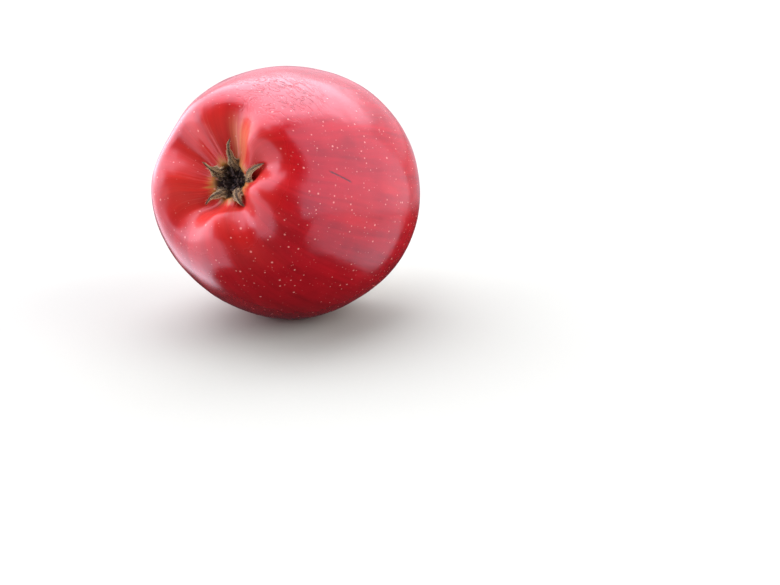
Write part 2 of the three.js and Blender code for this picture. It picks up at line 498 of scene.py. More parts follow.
def make_stem_wood(look):
    """Brown stem bark with long fibres, dark at the foot, grey and cracked at the cut end."""
    material, tree, shader = new_material("stem_wood")
    where = own_place(tree)
    x, y, along = parts(tree, where)
    stretched = vector(tree, x, y, along * 0.12)
    fibres = noise(tree, stretched, 2600.0, 4.0, 0.6)
    broad = noise(tree, stretched, 900.0, 2.0, 0.5)
    blotch = noise(tree, where, 260.0, 3.0, 0.6, 0.5)
    bark = blended(tree, held(fibres * 0.6 + broad * 0.8 - 0.2), look.stem_dark, look.stem_brown)
    bark = blended(tree, eased(blotch, 0.48, 0.72) * 0.6, bark, look.stem_olive)
    foot = eased(along, look.stem_length * 0.22, look.stem_length * 0.04)
    bark = blended(tree, foot * 0.65, bark, look.stem_foot)
    end = eased(along, look.stem_length * 0.86, look.stem_length * 0.95)
    crumbs = noise(tree, where, 1500.0, 4.0, 0.7)
    cracked = add(
        tree,
        "ShaderNodeTexVoronoi",
        {"Vector": where, "Scale": 1150.0},
        feature="DISTANCE_TO_EDGE",
    )
    cracks = eased(Number(tree, cracked.outputs["Distance"]), 0.10, 0.02)
    grey = blended(tree, held(crumbs * 1.6 - 0.4), look.stem_end_dark, look.stem_end_pale)
    bark = blended(tree, end, bark, grey)
    bark = blended(tree, cracks * end * 0.7, bark, look.stem_dark)
    warts = lenticels(tree, where, 0.0009, 0.00008, 0.00022, Number(tree, blotch.socket))
    bark = blended(tree, warts * (1 - end) * 0.5, bark, look.stem_end_pale)
    feed(tree, shader.inputs["Base Color"], bark)
    feed(tree, shader.inputs["Roughness"], 0.62 + (fibres - 0.5) * 0.3 + end * 0.2)
    relief = fibres * 0.12 + broad * 0.1 + warts * 0.05 + end * (crumbs * 0.25 - cracks * 0.3)
    feed(tree, shader.inputs["Normal"], bumped(tree, relief, 0.001))
    return material


def make_sepal_felt(look):
    """Dry, downy sepals: olive brown, with near-black painted shade between straw-coloured ridges
    that also carry a painted highlight, with pale rims, a redder foot and dark points."""
    material, tree, shader = new_material("sepal_felt")
    where = own_place(tree)
    here = add(tree, "ShaderNodeTexCoord").outputs["Object"]
    side, thick, along = parts(tree, where)
    veins = noise(tree, vector(tree, side * 7.0, thick * 0.6, along * 1.6), 1.0, 3.0, 0.6, 0.4)
    felt = noise(tree, here, 1900.0, 3.0, 0.7)
    blotch = noise(tree, here, 520.0, 2.0, 0.6)
    ridge = eased(veins, 0.49, 0.60)
    rim = eased(size_of(side), 0.72, 0.98)
    # Near-black felt: partly the sepals' own dark brown, partly painted shade between the ridges.
    body = blended(tree, held(felt * 1.5 - 0.3), look.sepal_dark_and_shade, look.sepal_olive)
    # Straw on the ridges: partly their own colour, partly a painted highlight.
    body = blended(tree, held(ridge * (0.35 + felt * 0.8)), body, look.sepal_straw_and_highlight)
    body = blended(tree, eased(blotch, 0.55, 0.75) * 0.5, body, look.sepal_foot)
    foot = eased(along, 0.42, 0.12)
    body = blended(tree, foot * 0.75, body, look.sepal_foot)
    body = blended(tree, held(rim * (0.4 + felt)) * (1 - foot * 0.5), body, look.sepal_rim)
    tip = eased(along, 0.84, 0.97)
    body = blended(tree, tip * 0.8, body, look.sepal_tip)
    feed(tree, shader.inputs["Base Color"], body)
    feed(tree, shader.inputs["Roughness"], 0.72 + (felt - 0.5) * 0.25)
    shader.inputs["Sheen Weight"].default_value = 0.12
    shader.inputs["Sheen Roughness"].default_value = 0.5
    shader.inputs["Specular IOR Level"].default_value = 0.3
    relief = veins * 0.40 + felt * 0.10
    feed(tree, shader.inputs["Normal"], bumped(tree, relief, 0.001))
    return material


def make_dried_thread(look):
    """Almost black dried threads, browner towards their tips."""
    material, tree, shader = new_material("dried_thread")
    here = add(tree, "ShaderNodeTexCoord").outputs["Object"]
    _, _, along = parts(tree, own_place(tree))
    crust = noise(tree, here, 2200.0, 3.0, 0.7)
    tone = held(eased(along, 0.45, 1.0) * 0.6 + crust * 0.7 - 0.3)
    feed(tree, shader.inputs["Base Color"], blended(tree, tone, look.thread_dark, look.thread_tip))
    feed(tree, shader.inputs["Roughness"], 0.6 + (crust - 0.5) * 0.3)
    feed(tree, shader.inputs["Normal"], bumped(tree, crust * 0.12, 0.001))
    return material


# ---------------------------------------------------------------------------------------------
# Shapes


def fruit_outline(tree, size):
    """The fruit's outline as a curve in XY, radius by height. Its knots go from the floor of the
    stem cavity to the floor of the calyx basin, and the joined curve runs the other way."""
    half = size["Height"] * 0.5
    girth_height = size["Girth Above Middle"]
    knots = [
        (0.0, half - size["Cavity Depth"], 0, 0.0, 0.0025),
        (
            size["Cavity Throat Diameter"] * 0.5,
            half - size["Cavity Throat Depth"],
            62,
            0.004,
            0.005,
        ),
        (size["Shoulder Diameter"] * 0.5, half, 0, 0.006, 0.008),
        (
            size["Diameter"] * 0.5,
            girth_height,
            -92,
            (half - girth_height) * 0.54,
            (half + girth_height) * 0.33,
        ),
        (size["Crown Diameter"] * 0.5, -half, 180, 0.009, 0.0034),
        (
            size["Basin Throat Diameter"] * 0.5,
            size["Basin Throat Depth"] - half,
            152,
            0.0032,
            0.0033,
        ),
        (0.0, size["Basin Depth"] - half, 180, 0.0034, 0.0),
    ]

    def handle(radius, height, heading, reach):
        angle = math.radians(heading)
        return vector(
            tree, radius + reach * math.cos(angle), height + reach * math.sin(angle), 0.0
        )

    join = tree.nodes.new("GeometryNodeJoinGeometry")
    stretches = []
    for start, end in zip(knots, knots[1:]):
        inputs = {
            "Resolution": 48,
            "Start": vector(tree, start[0], start[1], 0.0),
            "Start Handle": handle(*start[:3], start[4]),
            "End Handle": handle(*end[:3], -1 * end[3]),
            "End": vector(tree, end[0], end[1], 0.0),
        }
        kind = "GeometryNodeCurvePrimitiveBezierSegment"
        stretches.append(add(tree, kind, inputs, mode="POSITION").outputs[0])
    for stretch in stretches:
        tree.links.new(stretch, join.inputs[0])
    # The stretches become one curve, with no gap at the knots for a sample to fall into.
    wire = add(tree, "GeometryNodeCurveToMesh", {"Curve": join.outputs[0]}).outputs[0]
    return add(tree, "GeometryNodeMeshToCurve", {"Mesh": welded(tree, wire)}).outputs[0]


def fruit_shape(form, material):
    """The fruit, upright: an outline turned round the core, then ribbed, made uneven, and leaned
    over along its core."""
    tree, size = shape_tree("Fruit", form.sizes())
    skin, around, share = round_skin(tree, 384, 250)
    outline = add(
        tree,
        "GeometryNodeSampleCurve",
        {"Curves": fruit_outline(tree, size), "Factor": share},
        mode="FACTOR",
        use_all_curves=True,
    )
    radius, height, _ = parts(tree, outline.outputs["Position"])
    half = size["Height"] * 0.5

    # Ribs, strongest under the crown, and an oval and slightly three-sided girth.
    out_of_place = power(cosine(around - form.uneven_rib_angle) * 0.5 + 0.5, 2.5)
    rib = cosine((around - form.rib_angle + out_of_place * form.uneven_ribs) * form.rib_count)
    lower = eased(-height, -size["Girth Above Middle"], half)
    over_crown = eased(-height, half * 0.6, half) * eased(radius, 0.0005, 0.0040)
    girth = (
        1.0
        + between(form.rib_share_at_shoulder, form.rib_share_at_crown, lower) * rib
        + cosine((around - form.oval_angle) * 2) * form.oval_share
        + cosine((around - form.trefoil_angle) * 3) * form.trefoil_share
    )
    x = radius * cosine(around)
    y = radius * sine(around)
    turned = vector(tree, x, y, height)

    # The calyx tube in the floor of the basin, and creases that run into it.
    below = eased(-height, 0.0, 0.010)
    tube = eased(
        radius,
        size["Calyx Tube Diameter"] * 0.5 + 0.0004,
        size["Calyx Tube Diameter"] * 0.5 - 0.0003,
    )
    crease_way = vector(tree, cosine(around) * 2.6, sine(around) * 2.6, height * 40.0)
    creases = noise(tree, crease_way, 1.0, 3.0, 0.6) - 0.5
    fold = power(held(0.5 - rib * 0.5), 2.6) * (1.0 + cosine(around - form.deep_fold_angle) * 0.3)
    puff = power(held(rib * 0.5 + 0.5), 1.5) * eased(radius, 0.0065, 0.0130)
    puff = puff * eased(radius, 0.0220, 0.0135) * below
    fold = fold * eased(radius, 0.0042, 0.009) * eased(radius, 0.024, 0.014) * below
    in_basin = eased(radius, 0.016, 0.0075) * below * eased(radius, 0.002, 0.0045)
    lifted = (
        height
        - rib * over_crown * size["Rib Drop"]
        + tube * below * size["Calyx Tube Depth"]
        + creases * in_basin * size["Crease Depth"]
        + fold * size["Fold Depth"]
        - puff * size["Puff Height"]
    )
    # The crown stands off to one side of the flower, so that the basin is lopsided.
    aside = eased(radius, 0.006, 0.015) * eased(radius, 0.028, 0.016) * below
    near_side = held(cosine(around - form.crown_offset_angle) * 0.5 + 0.5)
    aside = aside * size["Crown Offset"] * (1.0 - near_side * 0.6)
    position = vector(
        tree,
        x * girth + height * form.core_lean[0] + aside * math.cos(form.crown_offset_angle),
        y * girth + height * form.core_lean[1] + aside * math.sin(form.crown_offset_angle),
        lifted,
    )
    whole = welded(tree, placed(tree, remembered(tree, skin, "upright", turned), position))
    whole = turned_out(tree, whole)

    # Soft unevenness, larger than anything that the skin's own relief shows.
    here = add(tree, "GeometryNodeInputPosition").outputs[0]
    swell = 0.5 - noise(tree, here, 48.0, 1.0, 0.4)
    dimple = 0.5 - noise(tree, here, 150.0, 2.0, 0.5)
    uneven = swell * size["Unevenness"] + dimple * size["Unevenness"] * 0.22
    return finish_shape(tree, pushed(tree, whole, uneven), material)


def stem_shape(sizes, material):
    """The stem, upright, with its foot at the origin: an uneven round shank, a flared foot and a
    thicker broken end."""
    tree, size = shape_tree("Stem", sizes)
    skin, around, share = round_skin(tree, 56, 240)
    way = 1 - share
    inside = held(way / 0.94)
    closing = eased(way, 1.0, 0.94)
    opening = eased(way, 0.0, 0.01)
    root = size["Root Depth"]
    along = inside * (size["Length"] + root) - root
    shank = size["Diameter"] * 0.5
    foot = eased(along, size["Length"] * 0.20, 0.0) * (size["Foot Diameter"] * 0.5 - shank)
    end_start = size["Length"] - size["End Length"]
    end = eased(along, end_start, size["Length"] - size["End Length"] * 0.25)
    knob = end * (size["End Diameter"] * 0.5 - shank)
    slender = eased(along, 0.0, size["Length"] * 0.5) * eased(along, end_start, 0.012) * 0.06

    # Long ridges, a lumpy end and a lopsided section.
    ridge_way = vector(tree, cosine(around) * 2.2, sine(around) * 2.2, along * 90.0)
    ridges = noise(tree, ridge_way, 1.0, 4.0, 0.6) - 0.5
    lump_way = vector(tree, cosine(around) * 1.3, sine(around) * 1.3, along * 420.0)
    lumps = (noise(tree, lump_way, 1.0, 3.0, 0.6) - 0.5) * end
    section = 1.0 + cosine(around * 2 + along * 60.0) * 0.05 - slender
    radius = (shank + foot + knob) * section
    radius = radius * (1.0 + ridges * 0.22 + lumps * 0.5) * closing * opening

    # The broken face of the end is hollow in the middle and ragged.
    ragged_way = vector(tree, cosine(around) * closing, sine(around) * closing, 0.0)
    ragged = noise(tree, ragged_way, 3.2, 4.0, 0.7) - 0.5
    face = eased(way, 0.92, 0.955)
    lift = face * (ragged * 0.0011 - eased(closing, 0.75, 0.0) * 0.0006)
    reach = along / size["Length"]
    lean = most(reach, 0.0)
    sway = sine(reach * 7.0) * 0.00022
    upright = vector(tree, radius * cosine(around), radius * sine(around), along)
    position = vector(
        tree,
        radius * cosine(around) + sway,
        radius * sine(around) + lean * lean * size["Bend"],
        along + lift,
    )
    grown = placed(tree, remembered(tree, skin, "upright", upright), position)
    return finish_shape(tree, welded(tree, grown), material)


def sepal_shape(sizes, material):
    """One sepal, upright, with its foot at the origin: a thin ridged blade that stands along -Z,
    leans and curls towards +X, and has a ruffled, ragged edge and down on both faces."""
    tree, size = shape_tree("Sepal", sizes)
    skin, around, share = round_skin(tree, 64, 110)
    way = 1 - share
    side = cosine(around)
    thick = sine(around)
    seed = size["Seed"]

    # The blade's outline: widest a third of the way up, with a long thin point.
    width = size["Width"] * 0.5 * power(most(1 - way, 0.0), 0.8) * eased(way, -0.12, 0.36, 0.3, 1.0)
    width = width * (1 - eased(way, 0.3, 0.85) * 0.55) + eased(way, 1.0, 0.9) * 0.00012
    frayed = noise(tree, vector(tree, way * 22.0, side * 0.8, seed * 3.1), 1.0, 3.0, 0.7) - 0.5
    width = width * (1.0 + frayed * 0.9)
    blade = size["Thickness"] * 0.5 * power(most(1 - way, 0.0), 0.35) * eased(way, 0.0, 0.03)

    # Lengthwise ridges, a crumpled face, and an edge that waves.
    ridge_way = vector(tree, side * 3.4, way * 1.8, seed * 2.3)
    ridges = noise(tree, ridge_way, 1.0, 2.0, 0.6) - 0.5
    crumple = noise(tree, vector(tree, way * 7.0, side * 1.8, seed * 1.7), 1.0, 2.0, 0.5) - 0.5
    wave = sine(way * 17.0 + side * 1.5 + seed * 2.0) * side * side * size["Ruffle"]

    # Lean outwards as it leaves the tube, then curl.
    along = way * size["Length"]
    standing = size["Standing"]
    lean, curl = size["Lean"], size["Curl"]
    tightness = curl / (size["Length"] - standing)
    past = most(along - standing, 0.0)
    leaning = lean * least(along, standing) / standing
    angle = leaning + tightness * past
    first = standing / lean
    out = (1 - cosine(leaning)) * first + (cosine(leaning) - cosine(angle)) / tightness
    up = sine(leaning) * first + (sine(angle) - sine(leaning)) / tightness

    # Cup and twist, measured from the blade's own middle.
    twist = way * way * size["Twist"]
    across = side * width
    cup = side * side * width * size["Cup"]
    lift = thick * blade - cup + (ridges * 0.34 + crumple * 0.55 + wave) * width
    turned_across = across * cosine(twist) - lift * sine(twist)
    turned_lift = across * sine(twist) + lift * cosine(twist)
    position = vector(
        tree,
        out - turned_lift * cosine(angle),
        turned_across + sine(way * 4.2 + seed) * way * size["Sway"],
        -up - turned_lift * sine(angle),
    )
    upright = vector(tree, side, thick, way)
    closed = welded(tree, placed(tree, remembered(tree, skin, "upright", upright), position))
    closed = turned_out(tree, closed)

    # Down: short tapering hairs, bent and standing at random.
    points = add(
        tree,
        "GeometryNodeDistributePointsOnFaces",
        {"Mesh": closed, "Density": size["Hairs"], "Seed": seed * 7.0},
        distribute_method="RANDOM",
    )
    hair = add(
        tree,
        "GeometryNodeMeshCone",
        {
            "Vertices": 3,
            "Side Segments": 4,
            "Fill Segments": 1,
            "Radius Top": 0.000008,
            "Radius Bottom": 0.000034,
            "Depth": 0.0008,
        },
    ).outputs["Mesh"]
    hair_x, hair_y, hair_z = parts(tree, add(tree, "GeometryNodeInputPosition").outputs[0])
    hooked = hair_z * hair_z * 420.0
    pale = remembered(tree, hair, "upright", (1.0, 0.0, 0.5))
    bent_hair = placed(tree, pale, vector(tree, hair_x + hooked, hair_y, hair_z))
    astray = vector(tree, *[random_number(tree, -0.9, 0.9, number) for number in (11, 12, 13)])
    tilt = vector_math(tree, "ADD", points.outputs["Normal"], astray)
    aim = add(tree, "FunctionNodeAlignRotationToVector", {"Vector": tilt}, axis="Z")
    stood = add(
        tree,
        "GeometryNodeInstanceOnPoints",
        {
            "Points": points.outputs["Points"],
            "Instance": bent_hair,
            "Rotation": aim.outputs[0],
            "Scale": vector(tree, 1.0, 1.0, random_number(tree, 0.35, 1.3, 14)),
        },
    ).outputs[0]
    join = tree.nodes.new("GeometryNodeJoinGeometry")
    tree.links.new(closed, join.inputs[0])
    tree.links.new(stood, join.inputs[0])
    return finish_shape(tree, join.outputs[0], material)


def stamen_shape(sizes, material):
    """The dried stamens and styles, upright, with their foot at the origin: bent threads with
    small shrivelled heads, standing along -Z on a ring."""
    tree, size = shape_tree("Dried Stamens", sizes)
    skin, around, share = round_skin(tree, 9, 34)
    way = 1 - share
    head = eased(size_of(way - 0.92), 0.075, 0.0)
    closing = eased(way, 1.0, 0.97) * eased(way, 0.0, 0.02)
    radius = (size["Thread Diameter"] * (0.62 - way * 0.3) + head * size["Head Size"]) * closing
    bow = way * way
    position = vector(
        tree,
        radius * cosine(around) + bow * 0.16,
        radius * sine(around) + sine(way * 6.0) * 0.035,
        -way,
    )
    upright = vector(tree, cosine(around), sine(around), way)
    thread = welded(tree, placed(tree, remembered(tree, skin, "upright", upright), position))
    thread = turned_out(tree, thread)

    count = size["Threads"]
    dots = add(
        tree, "GeometryNodePoints", {"Count": count, "Position": (0.0, 0.0, 0.0)}
    ).outputs[0]
    index = Number(tree, add(tree, "GeometryNodeInputIndex").outputs[0])
    angle = index * GOLDEN_ANGLE
    reach = calculate(tree, "SQRT", (index + 0.5) / count) * size["Diameter"] * 0.5
    spread = placed(tree, dots, vector(tree, reach * cosine(angle), reach * sine(angle), 0.0))
    lean_out = random_number(tree, 0.02, 0.42, 21)
    spin = random_number(tree, -0.9, 0.9, 22)
    tall = random_number(tree, 0.62, 1.0, 23) * size["Height"]
    stood = add(
        tree,
        "GeometryNodeInstanceOnPoints",
        {
            "Points": spread,
            "Instance": thread,
            "Rotation": vector(tree, 0.0, -1 * lean_out, angle + spin),
            "Scale": vector(tree, 0.0042, 0.0042, tall),
        },
    ).outputs[0]
    return finish_shape(tree, stood, material)


# ---------------------------------------------------------------------------------------------
# Properties


def length_property(name, description, default):
    return bpy.props.FloatProperty(
        name=name, description=description, default=default, min=0.0, unit="LENGTH", precision=4
    )


def angle_property(name, description, default):
    return bpy.props.FloatProperty(
        name=name, description=description, default=math.radians(default), subtype="ANGLE"
    )


def share_property(name, description, default):
    return bpy.props.FloatProperty(
        name=name, description=description, default=default, subtype="FACTOR"
    )


def light_property(name, description, default):
    return bpy.props.FloatProperty(name=name, description=description, default=default, min=0.0)


def colour_property(name, description, red, green, blue):
    return bpy.props.FloatVectorProperty(
        name=name,
        description=description,
        default=(red, green, blue, 1.0),
        size=4,
        min=0.0,
        max=1.0,
        subtype="COLOR",
    )


def tree_sizes(group, names):
    """A group's sizes, by the names that the inputs of its geometry tree have."""
    return {name.replace("_", " ").title(): getattr(group, name) for name in names.split()}


class AppleLie(bpy.types.PropertyGroup):
    """How the apple lies."""

    calyx_rise: angle_property("Calyx Rise", "How far the calyx end of the core is raised", 22)
    middle: bpy.props.FloatVectorProperty(
        name="Middle",
        description="Where the middle of the core is once the apple is laid down",
        subtype="TRANSLATION",
        unit="LENGTH",
    )


class AppleFruit(bpy.types.PropertyGroup):
    """Sizes of the fruit."""

    diameter: length_property("Diameter", "Widest girth, before the oval", 0.078)
    height: length_property("Height", "From the shoulder to the crown", 0.070)
    girth_above_middle: length_property("Girth Above Middle", "Height of the widest girth", 0.007)
    shoulder_diameter: length_property("Shoulder Diameter", "Across the top of the shoulder", 0.040)
    cavity_depth: length_property("Cavity Depth", "Of the stem cavity", 0.0155)
    cavity_throat_diameter: length_property("Cavity Throat Diameter", "Of the cavity", 0.016)
    cavity_throat_depth: length_property("Cavity Throat Depth", "Below the shoulder", 0.009)
    crown_diameter: length_property("Crown Diameter", "Across the lowest of the crown", 0.037)
    basin_depth: length_property("Basin Depth", "Of the calyx basin", 0.0064)
    basin_throat_diameter: length_property("Basin Throat Diameter", "Of the basin", 0.019)
    basin_throat_depth: length_property("Basin Throat Depth", "Below the crown", 0.003)
    rib_drop: length_property("Rib Drop", "How far the ribs stand below the crown", 0.001)
    calyx_tube_diameter: length_property("Calyx Tube Diameter", "In the basin's floor", 0.0088)
    calyx_tube_depth: length_property("Calyx Tube Depth", "Below the basin's floor", 0.0024)
    crease_depth: length_property("Crease Depth", "Of the creases in the basin", 0.0011)
    fold_depth: length_property("Fold Depth", "Of the folds between the ribs", 0.0010)
    puff_height: length_property("Puff Height", "Of the swells round the basin", 0.0012)
    crown_offset: length_property("Crown Offset", "From the flower to the crown's middle", 0.0034)
    crown_offset_angle: angle_property("Crown Offset Angle", "Direction of the offset", -125)
    deep_fold_angle: angle_property("Deep Fold Angle", "Side with the deepest folds", 50)
    unevenness: length_property("Unevenness", "Height of the soft swells of the skin", 0.0008)
    rib_count: bpy.props.IntProperty(name="Rib Count", description="Ribs on the crown", default=5)
    rib_angle: angle_property("Rib Angle", "Place of the first rib", 30)
    uneven_ribs: angle_property("Uneven Ribs", "How far one rib stands out of place", 24)
    uneven_rib_angle: angle_property("Uneven Rib Angle", "Where the ribs are out of place", 88)
    rib_share_at_crown: share_property("Rib Share At Crown", "Of the radius", 0.009)
    rib_share_at_shoulder: share_property("Rib Share At Shoulder", "Of the radius", 0.004)
    oval_share: share_property("Oval Share", "How oval the girth is", 0.028)
    oval_angle: angle_property("Oval Angle", "Direction of the long side", 92)
    trefoil_share: share_property("Trefoil Share", "How three-sided the girth is", 0.016)
    trefoil_angle: angle_property("Trefoil Angle", "Direction of the first side", 6)
    core_lean: bpy.props.FloatVectorProperty(
        name="Core Lean",
        description="Sideways travel of the core for each metre of height",
        default=(0.06, -0.078),
        size=2,
    )
    rest_softness: length_property("Rest Softness", "Rounding at the rest spot's edge", 0.0006)

    def sizes(self):
        return tree_sizes(
            self,
            "diameter height girth_above_middle shoulder_diameter cavity_depth "
            "cavity_throat_diameter cavity_throat_depth crown_diameter basin_depth "
            "basin_throat_diameter basin_throat_depth rib_drop calyx_tube_diameter "
            "calyx_tube_depth crease_depth fold_depth puff_height crown_offset unevenness",
        )

    def on_core(self, height):
        return Vector((self.core_lean[0] * height, self.core_lean[1] * height, height))

    def flower_foot(self):
        """The floor of the calyx tube, where the sepals and the stamens stand."""
        return self.on_core(self.basin_depth - self.height / 2 + self.calyx_tube_depth)


class AppleStem(bpy.types.PropertyGroup):
    """Sizes of the stem."""

    length: length_property("Length", "Above the floor of the cavity", 0.0295)
    diameter: length_property("Diameter", "Of the shank", 0.0027)
    foot_diameter: length_property("Foot Diameter", "Where it joins the fruit", 0.0044)
    end_diameter: length_property("End Diameter", "Of the thick end", 0.0046)
    end_length: length_property("End Length", "Of the thick end", 0.005)
    bend: length_property("Bend", "Sideways, at the free end", 0.0024)
    root_depth: length_property("Root Depth", "How far the foot goes into the fruit", 0.0015)

    def sizes(self):
        names = "length diameter foot_diameter end_diameter end_length bend root_depth"
        return tree_sizes(self, names)


class AppleFlower(bpy.types.PropertyGroup):
    """Sizes of the dried flower. The sepals' places, curls and lengths are in SEPALS."""

    sepal_thickness: length_property("Sepal Thickness", "In the middle", 0.00045)
    hairs: bpy.props.FloatProperty(
        name="Hairs", description="Hairs for each square metre of sepal", default=3.0e6
    )
    threads: bpy.props.IntProperty(name="Threads", description="Stamens and styles", default=24)
    thread_diameter: share_property("Thread Diameter", "Of a thread's own scale", 0.055)
    head_size: share_property("Head Size", "Of a thread's own scale", 0.05)
    tuft_diameter: length_property("Tuft Diameter", "Of the ring of threads", 0.0036)
    tuft_height: length_property("Tuft Height", "Of the tallest thread", 0.0044)

    def stamen_sizes(self):
        return {
            "Threads": self.threads,
            "Thread Diameter": self.thread_diameter,
            "Head Size": self.head_size,
            "Diameter": self.tuft_diameter,
            "Height": self.tuft_height,
        }


class AppleLook(bpy.types.PropertyGroup):
    """Colours and marks."""

    deep_red: colour_property("Deep Red", "Darkest red of the skin", 0.235, 0.0014, 0.0048)
    light_red: colour_property("Light Red", "Lightest red of the skin", 0.43, 0.0048, 0.0108)
    # Also painted light that lightens the basin round the crown.
    orange_and_painted_light: colour_property("Orange", "Where the red is thin", 0.57, 0.026, 0.012)
    yellow: colour_property("Yellow", "Ground colour", 0.60, 0.36, 0.09)
    green: colour_property("Green", "Ground colour deep in the hollows", 0.32, 0.27, 0.045)
    groove: colour_property("Groove", "Pale groove beside the flower", 0.66, 0.25, 0.11)
    tube: colour_property("Tube", "Dried tube that holds the flower", 0.032, 0.018, 0.009)
    ray: colour_property("Ray", "Pale rays near both ends", 0.64, 0.24, 0.15)
    lenticel: colour_property("Lenticel", "Dots on the skin", 0.80, 0.37, 0.31)
    scratch: colour_property("Scratch", "Dried scratch", 0.085, 0.008, 0.010)
    bloom: colour_property("Bloom", "Of the gloss under the wax", 1.0, 0.84, 1.0)
    wax: share_property("Wax", "Strength of the clear gloss", 0.28)
    blush_angle: angle_property("Blush Angle", "Place of the yellow shoulder", 60)
    groove_angle: angle_property("Groove Angle", "Place of the pale groove", -67)
    scratch_length: length_property("Scratch Length", "From end to end", 0.0088)
    scratch_middle: bpy.props.FloatVectorProperty(
        name="Scratch Middle",
        description="On the skin",
        default=(0.02938, -0.02254, 0.05061),
        unit="LENGTH",
    )
    scratch_direction: bpy.props.FloatVectorProperty(
        name="Scratch Direction", description="Along the scratch", default=(0.48, 0.634, -0.447)
    )
    wrinkle_middle: bpy.props.FloatVectorProperty(
        name="Wrinkle Middle",
        description="On the skin",
        default=(0.00908, -0.0186, 0.07215),
        unit="LENGTH",
    )
    drawn_middle: bpy.props.FloatVectorProperty(
        name="Drawn Middle",
        description="Where the skin is drawn into fine ripples",
        default=(0.02308, 0.0137, 0.0685),
        unit="LENGTH",
    )
    stem_length: length_property("Stem Length", "For the stem's colours", 0.0295)
    stem_brown: colour_property("Stem Brown", "Bark", 0.19, 0.105, 0.042)
    stem_dark: colour_property("Stem Dark", "Bark between the fibres", 0.055, 0.028, 0.014)
    stem_olive: colour_property("Stem Olive", "Greener patches", 0.21, 0.165, 0.055)
    stem_foot: colour_property("Stem Foot", "Near the fruit", 0.075, 0.022, 0.014)
    stem_end_pale: colour_property("Stem End Pale", "Broken end", 0.36, 0.31, 0.25)
    stem_end_dark: colour_property("Stem End Dark", "Broken end", 0.14, 0.10, 0.07)
    # Also painted shade between the ridges.
    sepal_dark_and_shade: colour_property("Sepal Dark", "Between the ridges", 0.012, 0.007, 0.003)
    sepal_olive: colour_property("Sepal Olive", "Blade", 0.080, 0.048, 0.017)
    # Also a painted highlight on the ridges.
    sepal_straw_and_highlight: colour_property("Sepal Straw", "Ridges of the blade", 0.55, 0.40, 0.19)
    sepal_rim: colour_property("Sepal Rim", "Edges and down", 0.64, 0.49, 0.28)
    sepal_foot: colour_property("Sepal Foot", "Near the tube, and stains", 0.060, 0.022, 0.014)
    sepal_tip: colour_property("Sepal Tip", "Point", 0.045, 0.022, 0.014)
    thread_dark: colour_property("Thread Dark", "Stamens", 0.012, 0.008, 0.006)
    thread_tip: colour_property("Thread Tip", "Heads of the stamens", 0.085, 0.055, 0.035)


class AppleStage(bpy.types.PropertyGroup):
    """Floor, light and camera."""

    floor_shade: share_property("Floor Shade", "How pale the floor is", 0.36)
    overhead_back: light_property("Overhead Back", "Wide soft light, back left", 4.8)
    overhead_front: light_property("Overhead Front", "Soft light, front left", 4.2)
    overhead_right: light_property("Overhead Right", "Soft light, back right", 1.8)
    top: light_property("Top", "Straight above", 4.2)
    left_wall: light_property("Left Wall", "Bright wall at the left", 5.0)
    back_wall: light_property("Back Wall", "Pale wall behind", 1.2)
    side: light_property("Side", "Upright soft light at the right", 2.3)
    table_left: light_property("Table Left", "Table at the left, in reflections", 2.6)
    table_back: light_property("Table Back", "Table at the back left, in reflections", 1.2)
    table_far: light_property("Table Far", "Table behind, in reflections", 0.7)
    table_right: light_property("Table Right", "Table at the right, in reflections", 1.7)
    room: light_property("Room", "Everything else", 0.04)
    window: light_property("Window", "Broad soft light from the right", 1.7)
    tint: colour_property("Tint", "Of the room's lights", 0.96, 0.86, 1.0)


# Each light's turn from straight behind, half its width and its edge, then its lowest and highest
# rise and its edge, all in degrees.
LAMPS = [
    ("overhead_back", -50, 85, 14, 29, 95, 7),
    ("overhead_front", -157, 34, 10, 53, 95, 9),
    ("overhead_right", 48, 22, 12, 40, 95, 4),
    ("top", 0, 200, 1, 74, 95, 6),
    ("left_wall", -103, 46, 8, -3, 40, 6),
    ("back_wall", -10, 50, 10, 6, 38, 5),
    ("side", 75, 41, 6, -12, 60, 6),
    ("table_left", -120, 58, 8, -50, 5, 5),
    ("table_back", -50, 14, 6, -14, 6, 5),
    ("table_far", 2, 38, 6, -14, 6, 4),
    ("table_right", 71, 30, 5, -50, -12, 2.5),
]


# The window's turn and rise, and how wide it is, in degrees.
WINDOW_TURN, WINDOW_RISE, WINDOW_WIDTH = 78, 25, 50

# The room's lights are a little violet, and the floor's green and blue make up for it.
FLOOR_REACH, FLOOR_GREEN, FLOOR_BLUE = 30.0, 1.116, 0.96

# The camera's lens and sensor in millimetres, its rise and swing round the middle of the core in
# degrees, its distance in metres, and how far it looks down and round in degrees.
LENS, SENSOR = 39.46, 36.0
CAMERA_RISE, CAMERA_SWING, CAMERA_DISTANCE = 12.7, 28.8, 0.2687
LOOKS_DOWN, LOOKS_ROUND = 19.52, 21.72

# How far inside the rim of the calyx tube the sepals' feet stand.
SEPAL_FOOT_INSET = 0.0010

# Place round the core, lean and curl in degrees. Lengths, widths and sways are metres, and the
# rest are shares.
SEPAL_SIZES = (
    "Place", "Lean", "Curl", "Length", "Standing", "Width", "Twist", "Cup", "Ruffle", "Sway"
)
SEPALS = [
    (-20, 34, 58, 0.0126, 0.0026, 0.0070, 0.5, 0.30, 0.30, 0.0006),
    (-84, 24, 52, 0.0120, 0.0026, 0.0046, -1.6, 0.55, 0.60, 0.0010),
    (-156, 5, 46, 0.0104, 0.0024, 0.0058, 0.9, 0.60, 0.45, 0.0007),
    (-236, 10, 112, 0.0106, 0.0025, 0.0056, -0.5, 0.65, 0.30, 0.0004),
    (-312, 4, 130, 0.0108, 0.0024, 0.0076, 0.3, 0.85, 0.12, 0.0004),
]


# ---------------------------------------------------------------------------------------------
# Operators


